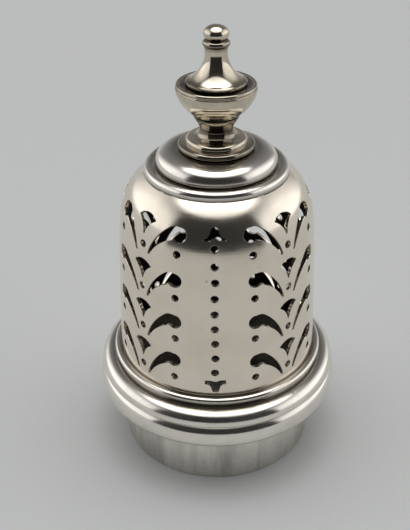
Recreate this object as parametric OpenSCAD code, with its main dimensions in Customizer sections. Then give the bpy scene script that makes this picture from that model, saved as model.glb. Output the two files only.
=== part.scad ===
// Pierced cover of a silver caster, standing on its bezel.
// Millimetres, +Z up, origin at the middle of the bezel's lower edge, a column of dots facing -Y.

/* [Bezel] */
// Height of the bezel below the mouldings
bezel_drop = 14.4; // [8:0.2:25]
// Height of bezel lapped up inside the drum
bezel_lap = 6; // [3:0.5:9]
// Thickness of the bezel below the mouldings
bezel_wall = 1.1; // [0.9:0.1:1.6]
// Step of the bezel's outside from its lap, under the drum's edge
bezel_step = 0.5; // [0.3:0.05:0.6]

/* [Drum] */
// Outside radius of the drum at its foot
drum_foot_r = 24.05; // [22:0.05:27]
// Outside radius of the drum where its shoulder starts to turn in
spring_r = 22.85; // [21:0.05:24]
// Outside radius of the drum where the crown sits
crown_r = 16.4; // [15:0.05:18]
// Height of the straight wall above the mouldings
wall_h = 28.6; // [24:0.2:36]
// Height of the shoulder from the straight wall to the crown
dome_h = 17.4; // [15:0.2:22]
// Slope of the shoulder where it meets the crown, from upright
crown_slope = 54; // [44:1:58]
// Thickness of the sheet
sheet = 0.8; // [0.5:0.05:1.2]

/* [Base mouldings] */
// Height of the lower moulding
lower_h = 6.5; // [5:0.1:9]
// Flat of the lower moulding against the seat, before it rounds
lower_flat = 2.45; // [1.5:0.05:3.5]
// Bulge of the lower moulding beyond its flat
lower_bulge = 3; // [1.5:0.05:4]
// Flat of the middle moulding before it rounds
middle_flat = 2.1; // [1:0.05:3]
// Radius of the middle moulding
middle_r = 2.75; // [1.5:0.05:3.2]
// Height of the middle moulding below its round
middle_foot = 0.3; // [0.1:0.05:0.8]
// Radius of the base bead
base_bead_r = 0.8; // [0.5:0.05:1.2]
// Height of the hollow under the base bead
base_hollow_h = 0.55; // [0.2:0.05:1]

/* [Crown] */
// Radius of the crown bead's round
crown_bead_r = 1.15; // [0.9:0.05:1.6]
// Height of the crown bead below its round
crown_bead_foot = 0.75; // [0.5:0.05:1.2]
// Width of the inner ledge of the crown bead that carries the cap
crown_ledge = 2.4; // [1.6:0.1:3.5]
// Height of that ledge
crown_ledge_h = 1.8; // [1.2:0.05:1.85]
// Gap between the cap and the outermost line of the crown bead
cap_inset = 2.6; // [2.2:0.05:3.2]
// Rise of the cap
cap_rise = 3.6; // [2.4:0.05:4.5]
// Radius of the flat on top of the cap
cap_flat_r = 9.5; // [8.8:0.05:10.2]

/* [Finial] */
// Radius of the foot's flange
flange_r = 8.65; // [8.2:0.05:9]
// Radius of the round on the flange
flange_round = 0.7; // [0.5:0.05:0.8]
// Radius of the foot's rim
foot_rim_r = 6.9; // [6.3:0.05:7.2]
// Radius of the round on the rim
foot_rim_round = 0.95; // [0.7:0.05:1]
// Height of the foot up to the top of its rim
foot_rim_h = 2.7; // [2.5:0.05:3]
// Height of the foot up to the waist
foot_h = 4.8; // [4.4:0.05:6]
// Radius of the waist
waist_r = 3.7; // [3:0.05:4.4]
// Radius of the calyx at its lip
calyx_r = 5.1; // [4.7:0.05:6]
// Height of the calyx
calyx_h = 2.85; // [2:0.05:4]
// Greatest radius of the bowl
bowl_r = 8.9; // [8.4:0.05:10]
// Height of the bowl up to its greatest radius
bowl_belly_h = 6; // [5:0.05:8]
// Radius of the bowl's rolled rim
bowl_rim_round = 0.45; // [0.4:0.05:0.7]
// Radius of the spire's disc
disc_r = 6.7; // [5.5:0.05:7]
// Thickness of the spire's disc
disc_h = 0.95; // [0.6:0.05:1.4]
// Height of the spire
spire_h = 8.3; // [6:0.1:10]
// Least radius of the spire
spire_neck_r = 2.45; // [1.9:0.05:2.55]
// Radius of the collar
collar_r = 2.95; // [2.9:0.05:3.5]
// Height of the collar
collar_h = 1.3; // [0.9:0.05:2]
// Radius of the ball
ball_r = 2.75; // [2.3:0.05:3.4]
// Height of the ball
ball_h = 2.95; // [2.7:0.05:5]

/* [Finial pin] */
// Radius of the pin through the finial
pin_r = 1.1; // [0.8:0.05:1.4]
// Radius of the pin's head under the cap
pin_head_r = 2.4; // [1.8:0.1:4]
// Thickness of the pin's head
pin_head_h = 0.8; // [0.5:0.1:1.5]
// Depth of the pin inside the ball
pin_in_ball = 1.5; // [0.8:0.1:2]

/* [Piercing] */
// Rows of leaves up the drum
rows = 4; // [2:1:5]
// Dots in each upright column
column_dots = 9; // [5:1:10]
// Columns of dots round the drum
columns = 4; // [3:1:4]
// Diameter of the dots in the columns
dot_d = 1.8; // [1.2:0.1:2.2]
// Diameter of the dots under the leaves and fans
small_dot_d = 1.75; // [1.2:0.1:2.2]
// Height of the lowest row of small dots above the mouldings
row_foot = 4.05; // [3.6:0.05:5]
// Height left above the highest row of small dots
row_head = 10.25; // [9.8:0.05:12]
// Height of the lowest column dot above the mouldings
column_foot = 6.45; // [6:0.05:8]
// Height left above the highest column dot
column_head = 8.2; // [7.9:0.05:9.5]
// Height of the tulip's middle above the mouldings
tulip_foot = 2.8; // [2.6:0.05:3.2]
// Height left above the trefoil's middle
trefoil_head = 5.1; // [4.6:0.05:5.3]
// Distance of the leaf's middle from the fan's line, along the wall
leaf_out = 6.1; // [5.8:0.05:6.5]
// Distance of the dot under a leaf from the fan's line, along the wall
leaf_dot_out = 9.15; // [8.8:0.05:9.6]

/* [Fits] */
// Room for solder at every seat
solder_gap = 0.05; // [0.02:0.01:0.1]

/* [Hidden] */
$fn = 96;

// Points along each curve of a profile
profile_steps = 12;

// Heights of the seats, from the bezel's lower edge up
lower_z = bezel_drop;
drum_z = lower_z + solder_gap;
middle_z = lower_z + lower_h + solder_gap;
middle_h = middle_foot + middle_r;
base_bead_z = middle_z + middle_h + solder_gap;
wall_z = base_bead_z + base_hollow_h + 2 * base_bead_r;
spring_z = wall_z + wall_h;
crown_z = spring_z + dome_h;
crown_bead_z = crown_z + solder_gap;
cap_z = crown_bead_z + crown_ledge_h + solder_gap;
foot_z = cap_z + cap_rise + solder_gap;
calyx_z = foot_z + foot_h + solder_gap;
bowl_z = calyx_z + calyx_h + solder_gap;
bowl_top = bowl_belly_h + 0.4 + bowl_rim_round;
spire_z = bowl_z + bowl_top + solder_gap;
collar_z = spire_z + spire_h + solder_gap;
ball_z = collar_z + collar_h + solder_gap;

// Radii that one piece takes from another
drum_bore_r = drum_foot_r - sheet;
bezel_lap_r = drum_bore_r - solder_gap;
bezel_r = bezel_lap_r + bezel_step;
seat_r = drum_foot_r + solder_gap;
cap_r = crown_r - cap_inset;
pin_bore_r = pin_r + solder_gap;
ball_neck_r = 0.8 * ball_r;

// Curves
function bezier(a, b, c, d, t) =
    a * pow(1 - t, 3) + 3 * b * t * pow(1 - t, 2) + 3 * c * t * t * (1 - t) + d * pow(t, 3);
function curve(a, b, c, d, steps) = [for (i = [0:steps]) bezier(a, b, c, d, i / steps)];
function arc(centre, rx, ry, from, to, steps) =
    [for (i = [0:steps]) let (t = from + (to - from) * i / steps) centre + [rx * cos(t), ry * sin(t)]];

// Outer line of the drum above the mouldings: a straight taper, then the shoulder, as [radius, height]
wall_start = [drum_foot_r, wall_z];
spring = [spring_r, spring_z];
crown_edge = [crown_r, crown_z];
wall_run = (spring - wall_start) / wall_h;
shoulder_low = spring + wall_run * dome_h * 0.66;
shoulder_high = crown_edge + [sin(crown_slope), -cos(crown_slope)] * dome_h * 0.3;
wall_line = concat([wall_start],
                   curve(spring, shoulder_low, shoulder_high, crown_edge, 2 * profile_steps));
wall_table = [for (p = wall_line) [p.y, p.x]];

// Radius of the drum at a height, and how far its surface leans back there
function wall_r(z) = lookup(z, wall_table);
function wall_lean(z) = atan2(wall_r(z - 0.5) - wall_r(z + 0.5), 1);
function lean_at(i) =
    let (a = wall_line[max(i - 1, 0)], b = wall_line[min(i + 1, len(wall_line) - 1)])
    atan2(a.x - b.x, b.y - a.y);
inner_line = [for (i = [0:len(wall_line) - 1])
              wall_line[i] - sheet * [cos(lean_at(i)), sin(lean_at(i))]];

// Places of the pierced shapes. The shapes are drawn for rows this far apart, and grow with the rows.
drawn_pitch = 10.55;
row_pitch = (crown_z - wall_z - row_foot - row_head) / (rows - 1);
motif_k = row_pitch / drawn_pitch;
dot_pitch = (crown_z - wall_z - column_foot - column_head) / (column_dots - 1);
leaf_up = 2.1 * motif_k;
fan_up = 4.6 * motif_k;
cut_in = 2 * sheet + 1;
cut_out = 2;
sector = 360 / columns;

// Leaf: a round head, a top that runs over it into a long back, and a belly cut out below
leaf_head = [-2.82, 2.32];
leaf_head_r = 1.72;
leaf_top = [-1.9, 1.85];
leaf_top_r = 2.3;
leaf_join = 52;
leaf_back_r = 15;
leaf_back = leaf_top + (leaf_top_r - leaf_back_r) * [cos(leaf_join), sin(leaf_join)];
leaf_belly = [-4.9, -8.34];
leaf_belly_r = 10;
leaf_tip = -4.1;

// Fan: a round upper edge, two hollow sides and a narrow stem
fan_top = [0, -0.95];
fan_top_r = 3.4;
fan_side = [5.1, -3.2];
fan_side_r = 5;
fan_half_w = 2.7;
fan_tip = -2.4;

// Trefoil: a round lobe over two feet with an arch between them
trefoil_lobe = [0, 0.65];
trefoil_lobe_r = 0.95;
trefoil_side = [2.62, 0.65];
trefoil_side_r = 1.67;
trefoil_arch = [0, -2];
trefoil_arch_r = 1.05;
trefoil_half_w = 2.5;
trefoil_base = -1.5;

// Tulip: two wings with a dip between them, on a tapered stem
tulip_top = 1.55;
tulip_half_w = 2.4;
tulip_dip = [0, 2.9];
tulip_dip_r = 1.65;
tulip_side = [2.2, -0.75];
tulip_side_r = 1.27;
tulip_stem = [[-0.93, -0.75], [-0.58, -1.65], [0.58, -1.65], [0.93, -0.75]];

module disc_at(centre, r) {
    translate(centre) circle(r = r);
}

module both_sides() {
    children();
    mirror([1, 0]) children();
}

module leaf() {
    disc_at(leaf_head, leaf_head_r);
    difference() {
        union() {
            disc_at(leaf_top, leaf_top_r);
            intersection() {
                disc_at(leaf_back, leaf_back_r);
                translate(leaf_back) rotate(leaf_join)
                    translate([0, -2 * leaf_back_r]) square(2 * leaf_back_r);
                translate([leaf_back.x, leaf_tip]) square(2 * leaf_back_r);
            }
        }
        disc_at(leaf_belly, leaf_belly_r);
    }
}

module fan() {
    difference() {
        intersection() {
            disc_at(fan_top, fan_top_r);
            translate([-fan_half_w, fan_tip]) square([2 * fan_half_w, 2 * fan_top_r]);
        }
        both_sides() disc_at(fan_side, fan_side_r);
    }
}

module trefoil() {
    disc_at(trefoil_lobe, trefoil_lobe_r);
    difference() {
        translate([-trefoil_half_w, trefoil_base])
            square([2 * trefoil_half_w, trefoil_lobe.y - trefoil_base]);
        both_sides() disc_at(trefoil_side, trefoil_side_r);
        disc_at(trefoil_arch, trefoil_arch_r);
    }
}

module tulip() {
    polygon(tulip_stem);
    difference() {
        translate([-tulip_half_w, tulip_side.y])
            square([2 * tulip_half_w, tulip_top - tulip_side.y]);
        both_sides() disc_at(tulip_side, tulip_side_r);
        disc_at(tulip_dip, tulip_dip_r);
    }
}

// A flat shape cut square through the drum's wall, at an angle round it and a height
module through_wall(angle, z) {
    rotate([0, 0, angle])
        translate([0, -wall_r(z), z])
            rotate([90 - wall_lean(z), 0, 0])
                translate([0, 0, -cut_in])
                    linear_extrude(cut_in + cut_out)
                        children();
}

// Angle that a distance along the wall takes up at a height
function turn(along, z) = along / wall_r(z) * 180 / PI;

module column_cuts(angle) {
    for (i = [0:column_dots - 1])
        through_wall(angle, wall_z + column_foot + i * dot_pitch) circle(d = dot_d);
    through_wall(angle, wall_z + tulip_foot) tulip();
    through_wall(angle, crown_z - trefoil_head) trefoil();
}

module row_cuts(angle, z) {
    through_wall(angle, z) circle(d = small_dot_d);
    through_wall(angle, z + fan_up) scale(motif_k) fan();
    for (side = [-1, 1]) {
        leaf_turn = turn(leaf_out * motif_k, z + leaf_up);
        dot_turn = turn(leaf_dot_out * motif_k, z);
        through_wall(angle + side * leaf_turn, z + leaf_up)
            scale(motif_k) mirror([side < 0 ? 0 : 1, 0]) leaf();
        through_wall(angle + side * dot_turn, z) circle(d = small_dot_d);
    }
}

module bezel() {
    color("silver") difference() {
        union() {
            cylinder(r = bezel_r, h = bezel_drop);
            cylinder(r = bezel_lap_r, h = bezel_drop + bezel_lap);
        }
        translate([0, 0, -1]) cylinder(r = bezel_r - bezel_wall, h = bezel_drop + bezel_lap + 2);
    }
}

module lower_moulding() {
    round_r = seat_r + lower_flat;
    half_h = lower_h / 2;
    widest = [round_r + lower_bulge, lower_z + half_h];
    top = lower_z + lower_h;
    lower_half = curve([round_r, lower_z], [round_r + 0.73 * lower_bulge, lower_z],
                       widest - [0, 0.73 * half_h], widest, profile_steps);
    upper_half = curve(widest, widest + [0, 0.64 * half_h],
                       [round_r + 0.64 * lower_bulge, top], [round_r, top], profile_steps);
    color("silver") rotate_extrude() polygon(concat(
        [[seat_r, lower_z]], lower_half,
        [for (i = [1:profile_steps]) upper_half[i]],
        [[seat_r, top]]));
}

module middle_moulding() {
    round_at = [seat_r + middle_flat, middle_z + middle_foot];
    foot_lean = -asin(middle_foot / middle_r);
    color("silver") rotate_extrude() polygon(concat(
        [[seat_r, middle_z]],
        arc(round_at, middle_r, middle_r, foot_lean, 90, profile_steps),
        [[seat_r, middle_z + middle_h]]));
}

module base_bead() {
    round_at = [seat_r + base_bead_r, wall_z - base_bead_r];
    color("silver") rotate_extrude() polygon(concat(
        [[seat_r, base_bead_z], [round_at.x + 0.5 * base_bead_r, base_bead_z],
         [round_at.x, base_bead_z + 0.5 * base_hollow_h]],
        arc(round_at, base_bead_r, base_bead_r, -80, 90, profile_steps),
        [[seat_r, wall_z]]));
}

module pierced_drum() {
    foot_line = [[drum_foot_r, drum_z]];
    bore_line = [[drum_bore_r, drum_z]];
    inner_back = [for (i = [len(inner_line) - 1:-1:1]) if (inner_line[i].y < crown_z) inner_line[i]];
    rim_in = [crown_r - sheet / cos(crown_slope), crown_z];
    color("silver") difference() {
        rotate_extrude()
            polygon(concat(foot_line, wall_line, [rim_in], inner_back,
                           [[drum_bore_r, wall_z]], bore_line));
        for (i = [0:columns - 1]) {
            column_cuts(i * sector);
            for (row = [0:rows - 1])
                row_cuts((i + 0.5) * sector, wall_z + row_foot + row * row_pitch);
        }
    }
}

module crown_bead() {
    round_at = [crown_r - crown_bead_r, crown_bead_z + crown_bead_foot];
    ledge_in = cap_r - crown_ledge;
    color("silver") rotate_extrude() {
        translate([ledge_in, crown_bead_z]) square([round_at.x - ledge_in, crown_ledge_h]);
        translate([round_at.x, crown_bead_z]) square([crown_bead_r, crown_bead_foot]);
        intersection() {
            translate(round_at) circle(r = crown_bead_r);
            translate([ledge_in, crown_bead_z]) square([crown_r, 4 * crown_bead_r]);
        }
    }
}

module crown_cap() {
    top = cap_z + cap_rise;
    outer = concat([[cap_r - 0.25, cap_z]],
                   curve([cap_r, cap_z + 0.25], [cap_r + 0.1, cap_z + 0.75 * cap_rise],
                         [cap_flat_r + 2.4, top], [cap_flat_r, top], profile_steps));
    inner = curve([cap_flat_r - sheet, top - sheet], [cap_flat_r + 2, top - sheet],
                  [cap_r - sheet, cap_z + 0.6 * cap_rise], [cap_r - 1.3 * sheet, cap_z], profile_steps);
    color("silver") rotate_extrude()
        polygon(concat(outer, [[pin_bore_r, top], [pin_bore_r, top - sheet]], inner));
}

module finial_foot() {
    flange_at = [flange_r - flange_round, flange_round];
    rim_at = [foot_rim_r - foot_rim_round, foot_rim_h - foot_rim_round];
    color("silver") translate([0, 0, foot_z]) rotate_extrude() polygon(concat(
        [[pin_bore_r, 0]],
        arc(flange_at, flange_round, flange_round, -90, 70, profile_steps),
        arc(rim_at, foot_rim_round, foot_rim_round, -30, 85, profile_steps),
        curve([rim_at.x - 0.1, foot_rim_h], [rim_at.x - 1.4, foot_rim_h + 0.05],
              [waist_r, foot_h - 1.6], [waist_r, foot_h], profile_steps),
        [[pin_bore_r, foot_h]]));
}

module finial_calyx() {
    color("silver") translate([0, 0, calyx_z]) rotate_extrude() polygon(concat(
        [[pin_bore_r, 0]],
        curve([waist_r, 0], [waist_r + 0.15, 0.25 * calyx_h],
              [calyx_r - 0.3, 0.7 * calyx_h], [calyx_r, 0.92 * calyx_h], profile_steps),
        [[calyx_r, calyx_h], [pin_bore_r, calyx_h]]));
}

module finial_bowl() {
    round_at = [bowl_r - 0.1 - bowl_rim_round, bowl_belly_h + 0.6];
    floor_r = disc_r + 0.35;
    color("silver") translate([0, 0, bowl_z]) rotate_extrude() polygon(concat(
        [[pin_bore_r, 0]],
        curve([calyx_r - 0.2, 0], [calyx_r + 1.3, 0.15 * bowl_belly_h],
              [bowl_r - 0.05, 0.58 * bowl_belly_h], [bowl_r, bowl_belly_h], profile_steps),
        [[bowl_r - 0.05, bowl_belly_h + 0.25], [bowl_r - 0.3, bowl_belly_h + 0.32]],
        arc(round_at, bowl_rim_round, bowl_rim_round, -20, 150, profile_steps),
        [[floor_r, bowl_top], [pin_bore_r, bowl_top]]));
}

module finial_spire() {
    neck_h = 0.8 * spire_h;
    color("silver") translate([0, 0, spire_z]) rotate_extrude() polygon(concat(
        [[pin_bore_r, 0], [disc_r - 0.2, 0], [disc_r, 0.2], [disc_r, 0.6 * disc_h]],
        curve([disc_r - 0.4, disc_h], [0.71 * disc_r, disc_h + 0.45],
              [spire_neck_r + 0.05, 0.58 * neck_h], [spire_neck_r, neck_h], profile_steps),
        arc([spire_neck_r + 0.35, neck_h], 0.35, spire_h - neck_h, 175, 90, profile_steps),
        [[pin_bore_r, spire_h]]));
}

module finial_collar() {
    color("silver") translate([0, 0, collar_z]) rotate_extrude() polygon(concat(
        [[pin_bore_r, 0]],
        curve([spire_neck_r + 0.35, 0], [collar_r + 0.05, 0.1 * collar_h],
              [collar_r + 0.05, 0.6 * collar_h], [collar_r - 0.25, 0.75 * collar_h], profile_steps),
        [[ball_neck_r, collar_h], [pin_bore_r, collar_h]]));
}

module finial_ball() {
    lowest = -acos(ball_neck_r / ball_r);
    half_h = ball_h / (1 - sin(lowest));
    round_at = [0, ball_h - half_h];
    color("silver") translate([0, 0, ball_z]) difference() {
        rotate_extrude() polygon(concat(
            [[0, 0]],
            arc(round_at, ball_r, half_h, lowest, 90, 2 * profile_steps)));
        translate([0, 0, -1]) cylinder(r = pin_bore_r, h = 1 + pin_in_ball + solder_gap);
    }
}

module finial_pin() {
    cap_underside = cap_z + cap_rise - sheet;
    head_z = cap_underside - solder_gap - pin_head_h;
    color("silver") {
        translate([0, 0, head_z]) cylinder(r = pin_head_r, h = pin_head_h);
        translate([0, 0, head_z]) cylinder(r = pin_r, h = ball_z + pin_in_ball - head_z);
    }
}

bezel();
lower_moulding();
middle_moulding();
base_bead();
pierced_drum();
crown_bead();
crown_cap();
finial_foot();
finial_calyx();
finial_bowl();
finial_spire();
finial_collar();
finial_ball();
finial_pin();
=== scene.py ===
"""Looks of a pierced silver caster cover: turned mouldings, a saw-pierced drum and an urn finial."""

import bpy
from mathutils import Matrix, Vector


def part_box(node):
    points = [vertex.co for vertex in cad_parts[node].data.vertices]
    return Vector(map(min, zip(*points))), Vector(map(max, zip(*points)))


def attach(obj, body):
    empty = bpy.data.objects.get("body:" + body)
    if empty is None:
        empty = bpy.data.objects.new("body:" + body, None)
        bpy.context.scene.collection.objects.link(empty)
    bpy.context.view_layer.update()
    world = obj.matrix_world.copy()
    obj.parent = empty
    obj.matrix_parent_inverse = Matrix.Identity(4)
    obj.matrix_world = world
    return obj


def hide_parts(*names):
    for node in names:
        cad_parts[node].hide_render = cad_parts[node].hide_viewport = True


bl_info = {
    "name": "Pierced caster cover",
    "version": (1, 0, 0),
    "blender": (4, 5, 0),
    "location": "View3D > Sidebar > Caster cover",
    "description": "Builds the pieces, the silver finishes and the studio of a pierced caster cover",
    "category": "Add Mesh",
}

import math
import random
from bisect import bisect_right

import bmesh
import bpy
from bpy.props import FloatProperty, FloatVectorProperty, IntProperty, PointerProperty
from bpy.types import Operator, Panel, PropertyGroup
from mathutils import Matrix, Vector
from mathutils.geometry import interpolate_bezier

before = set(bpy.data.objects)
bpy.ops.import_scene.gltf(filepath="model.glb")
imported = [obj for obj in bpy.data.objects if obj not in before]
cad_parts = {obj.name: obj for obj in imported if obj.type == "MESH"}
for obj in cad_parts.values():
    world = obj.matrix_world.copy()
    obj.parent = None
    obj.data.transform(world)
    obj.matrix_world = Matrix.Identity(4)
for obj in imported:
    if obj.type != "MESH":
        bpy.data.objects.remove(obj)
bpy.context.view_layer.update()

MM = 0.001
WELD = 0.000002

# Every turned piece is spun in this many steps, and its curves have this many
TURN_STEPS = 192
CURVE_STEPS = 16
DOME_STEPS = 96
SHARP_CORNER = math.radians(32)

# The curve of the cap's side swells about this far past its foot, and its handle five times as far
CAP_SWELL = 0.02 * MM

# Frame of the photograph, in pixels
PHOTO_W = 410
PHOTO_H = 530
SENSOR = 36.0


def low(node):
    """Height of a CAD node's lowest point."""
    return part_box(node)[0].z


def high(node):
    """Height of a CAD node's highest point."""
    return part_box(node)[1].z


def reach(node):
    """Outside radius of a CAD node."""
    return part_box(node)[1].x


def extent(node):
    """Lowest and highest points of a CAD node, and its outside radius."""
    return low(node), high(node), reach(node)


def setting(kind, scale=None, **limits):
    """A maker of properties that a user can change, whose defaults are written in units of a scale."""

    def make(name, value, description):
        default = value * scale if scale else value
        return kind(name=name, description=description, default=default, **limits)

    return make


length = setting(FloatProperty, MM, min=0.0, unit="LENGTH", precision=5)
angle = setting(FloatProperty, math.radians(1), subtype="ANGLE")
count = setting(IntProperty, min=1, subtype="UNSIGNED")
pixels = setting(FloatProperty, subtype="PIXEL")
share = setting(FloatProperty, min=0.0, max=1.0, subtype="FACTOR")
colour = setting(FloatVectorProperty, min=0.0, max=1.0, size=3, subtype="COLOR")


class BaseSizes(PropertyGroup):
    """Sizes of the bezel and of the mouldings round the foot of the drum."""

    bezel_wall: length("Bezel wall", 1.1, "Thickness of the bezel below the mouldings")
    bezel_lip: length("Bezel lip", 0.33, "Height of the bezel's rounded lower lip")
    bezel_step: length("Bezel step", 0.5, "Step of the bezel where it enters the drum")
    lower_flat: length("Lower flat", 2.45, "Flat of the lower moulding before it rounds")
    lower_under: share("Lower fullness", 0.73, "How full the lower moulding is below its middle")
    lower_over: share("Upper fullness", 0.64, "How full the lower moulding is above its middle")
    middle_flat: length("Middle flat", 2.1, "Flat of the middle moulding before it rounds")
    middle_foot: length("Middle foot", 0.3, "Height of the middle moulding below its round")
    bead_round: length("Bead round", 0.8, "Radius of the base bead")
    bead_foot: length("Bead foot", 0.4, "Width of the base bead's foot past its middle")
    solder_gap: length("Solder gap", 0.05, "Room for solder round the drum")
    edge_round: length("Edge round", 0.08, "Softening of the corners")


class DrumSizes(PropertyGroup):
    """Sizes of the drum's sheet."""

    sheet: length("Sheet", 0.8, "Thickness of the sheet")
    spring_r: length("Spring radius", 22.85, "Outside radius where the shoulder starts")
    crown_r: length("Crown radius", 16.4, "Outside radius where the crown sits")
    dome_h: length("Dome height", 17.4, "Height of the shoulder")
    crown_slope: angle("Crown slope", 54.0, "Slope of the shoulder at the crown, from upright")
    spring_pull: share("Spring pull", 0.66, "How far the shoulder follows the straight wall")
    crown_pull: share("Crown pull", 0.3, "How far the shoulder follows its slope at the crown")
    edge_round: length("Edge round", 0.07, "Softening of the sawn edges")


class PiercingSizes(PropertyGroup):
    """Places of the saw-pierced shapes, as heights above the mouldings and distances along the wall."""

    rows: count("Rows", 4, "Rows of leaves up the drum")
    column_dots: count("Column dots", 9, "Dots in each upright column")
    columns: count("Columns", 4, "Columns of dots round the drum")
    dot_r: length("Dot radius", 0.9, "Radius of the dots in the columns")
    small_dot_r: length("Small dot radius", 0.875, "Radius of the dots under leaves and fans")
    row_foot: length("Row foot", 4.05, "Height of the lowest row of small dots")
    row_head: length("Row head", 10.25, "Height left above the highest row of small dots")
    column_foot: length("Column foot", 6.45, "Height of the lowest column dot")
    column_head: length("Column head", 8.2, "Height left above the highest column dot")
    tulip_foot: length("Tulip foot", 2.8, "Height of the tulip's middle")
    trefoil_head: length("Trefoil head", 5.1, "Height left above the trefoil's middle")
    leaf_out: length("Leaf out", 6.1, "Distance of a leaf's middle from the fan's line")
    leaf_up: length("Leaf up", 2.1, "Height of a leaf above its row of dots")
    leaf_dot_out: length("Leaf dot out", 9.15, "Distance of the dot under a leaf from the fan's line")
    fan_up: length("Fan up", 4.6, "Height of a fan above its row of dots")
    saw_drift: length("Saw drift", 0.09, "How far the saw strays from a place")
    saw_turn: angle("Saw turn", 1.6, "How far the saw turns a shape")


class CrownSizes(PropertyGroup):
    """Sizes of the bead and the cap at the crown."""

    bead_round: length("Bead round", 1.15, "Radius of the crown bead's round")
    bead_foot: length("Bead foot", 0.75, "Height of the crown bead below its round")
    ledge: length("Ledge", 2.4, "Width of the ledge that carries the cap")
    ledge_h: length("Ledge height", 1.8, "Height of the ledge")
    cap_flat_r: length("Cap flat radius", 9.5, "Radius of the flat on top of the cap")
    cap_brow: length("Cap brow", 2.4, "How far the cap's top pulls its curve past the flat")
    cap_inside: length("Cap inside", 2.0, "The same for the inside of the cap")
    cap_foot: length("Cap foot", 0.25, "Slope of the cap's foot")
    cap_sheet: length("Cap sheet", 0.8, "Thickness of the cap")
    edge_round: length("Edge round", 0.06, "Softening of the corners")


class FinialSizes(PropertyGroup):
    """Sizes of the finial's turned pieces."""

    pin_bore_r: length("Pin bore radius", 1.15, "Radius of the bore for the pin")
    flange_round: length("Flange round", 0.7, "Radius of the round on the flange")
    rim_r: length("Rim radius", 6.9, "Radius of the foot's rim")
    rim_round: length("Rim round", 0.95, "Radius of the round on the rim")
    rim_h: length("Rim height", 2.7, "Height of the foot up to the top of its rim")
    waist_r: length("Waist radius", 3.7, "Radius of the waist")
    belly_h: length("Belly height", 6.0, "Height of the bowl up to its greatest radius")
    lip_round: length("Lip round", 0.45, "Radius of the bowl's rolled lip")
    lip_in: length("Lip in", 0.1, "How far the lip stands in from the bowl's side")
    lip_up: length("Lip up", 0.6, "Height of the lip's middle above the belly")
    floor_up: length("Floor up", 0.85, "Height of the bowl's floor above the belly")
    disc_gap: length("Disc gap", 0.35, "Room round the spire's disc")
    disc_h: length("Disc height", 0.95, "Thickness of the spire's disc")
    disc_slope: length("Disc slope", 0.2, "Slope of the disc's lower edge")
    neck_r: length("Neck radius", 2.45, "Least radius of the spire")
    neck_flare: length("Neck flare", 0.35, "How far the neck flares out below the collar")
    ball_foot: share("Ball foot", 0.8, "Radius of the ball's foot as a share of its own")
    ball_sink: length("Ball sink", 1.55, "Depth of the pin's bore in the ball")
    edge_round: length("Edge round", 0.05, "Softening of the corners")


class SilverFinish(PropertyGroup):
    """Colours and polish of the silver."""

    silver: colour("Silver", (0.86, 0.82, 0.75), "Colour of the polished silver")
    sheet: colour("Sheet silver", (0.87, 0.79, 0.68), "Colour of the silver of the drum")
    finial: colour("Finial silver", (0.70, 0.63, 0.51), "Colour of the silver of the finial")
    bezel: colour("Bezel silver", (0.80, 0.765, 0.71), "Colour of the rubbed silver of the bezel")
    # The inside is painted near black as the shade within the drum
    inside: colour("Inside silver", (0.05, 0.045, 0.04), "Colour of the tarnished inside")
    # The tarnish colour is also the painted shade in the crevices
    tarnish_and_shade: colour("Tarnish", (0.10, 0.085, 0.065), "Colour of the film that polishing leaves in corners")
    polish: share("Polish roughness", 0.15, "Roughness of the polished silver")
    finial_polish: share("Finial roughness", 0.0825, "Roughness of the finial")
    planished: share("Planished roughness", 0.15, "Roughness of the drum's sheet")
    rubbed: share("Rubbed roughness", 0.3, "Roughness of the rubbed bezel")
    dull: share("Dull roughness", 0.55, "Roughness of the tarnished inside")


class StudioLook(PropertyGroup):
    """Floor, light and camera."""

    floor: colour("Floor", (0.50, 0.51, 0.505), "Colour of the floor")
    camera_out: length("Camera out", 179.92, "Distance of the camera from the cover's axis")
    camera_up: length("Camera up", 158.59, "Height of the camera")
    camera_turn: angle("Camera turn", 1.15, "Turn of the camera round the cover, to the right")
    camera_tilt: angle("Camera tilt", 31.91, "Tilt of the camera below level")
    camera_roll: angle("Camera roll", -0.18, "Roll of the camera")
    focal_px: pixels("Focal length", 880.0, "Focal length in pixels")
    axis_px: pixels("Axis column", 216.9, "Pixel column of the cover's axis")
    centre_px: pixels("Centre row", 265.5, "Pixel row that the camera points at")


def arc(centre, across, start, end, steps=CURVE_STEPS, up=None):
    """Points along part of a circle, or of an ellipse if up is given, with its angles in degrees."""
    up = across if up is None else up
    turns = [math.radians(start + (end - start) * i / steps) for i in range(steps + 1)]
    return [(centre[0] + across * math.cos(t), centre[1] + up * math.sin(t)) for t in turns]


def curve(start, handle_a, handle_b, end, steps=CURVE_STEPS):
    """Points along a Bezier curve."""
    return [tuple(p) for p in interpolate_bezier(start, handle_a, handle_b, end, steps + 1)]


# Crevices at the feet of these pieces and where the drum leaves the base bead, darkened by tarnish that
# polishing can't reach and by painted shade: their radius and how far the darkening reaches, in
# millimetres
CREVICES_TARNISHED_AND_SHADED = [(radius, low(node) / MM, film) for node, radius, film in (
    ("middle_moulding", 27.2, 1.6), ("base_bead", 25.4, 1.9), ("crown_bead", 16.3, 0.9),
    ("crown_cap", 14.3, 1.3), ("finial_foot", 8.8, 3.2), ("finial_calyx", 3.7, 2.9),
    ("finial_bowl", 5.0, 1.6), ("finial_spire", 7.0, 2.4), ("finial_collar", 2.8, 1.3),
    ("finial_ball", 2.2, 1.0))]
CREVICES_TARNISHED_AND_SHADED.append((24.0, high("base_bead") / MM, 1.2))


def corner_tarnish_and_shade(radius, height):
    """How much of the crevices' dark tarnish and painted shade lies at a place in millimetres, from 0 to
    1.
    """
    return max(max(0.0, 1.0 - math.hypot(radius - r, height - z) / film) for r, z, film in CREVICES_TARNISHED_AND_SHADED)


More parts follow.
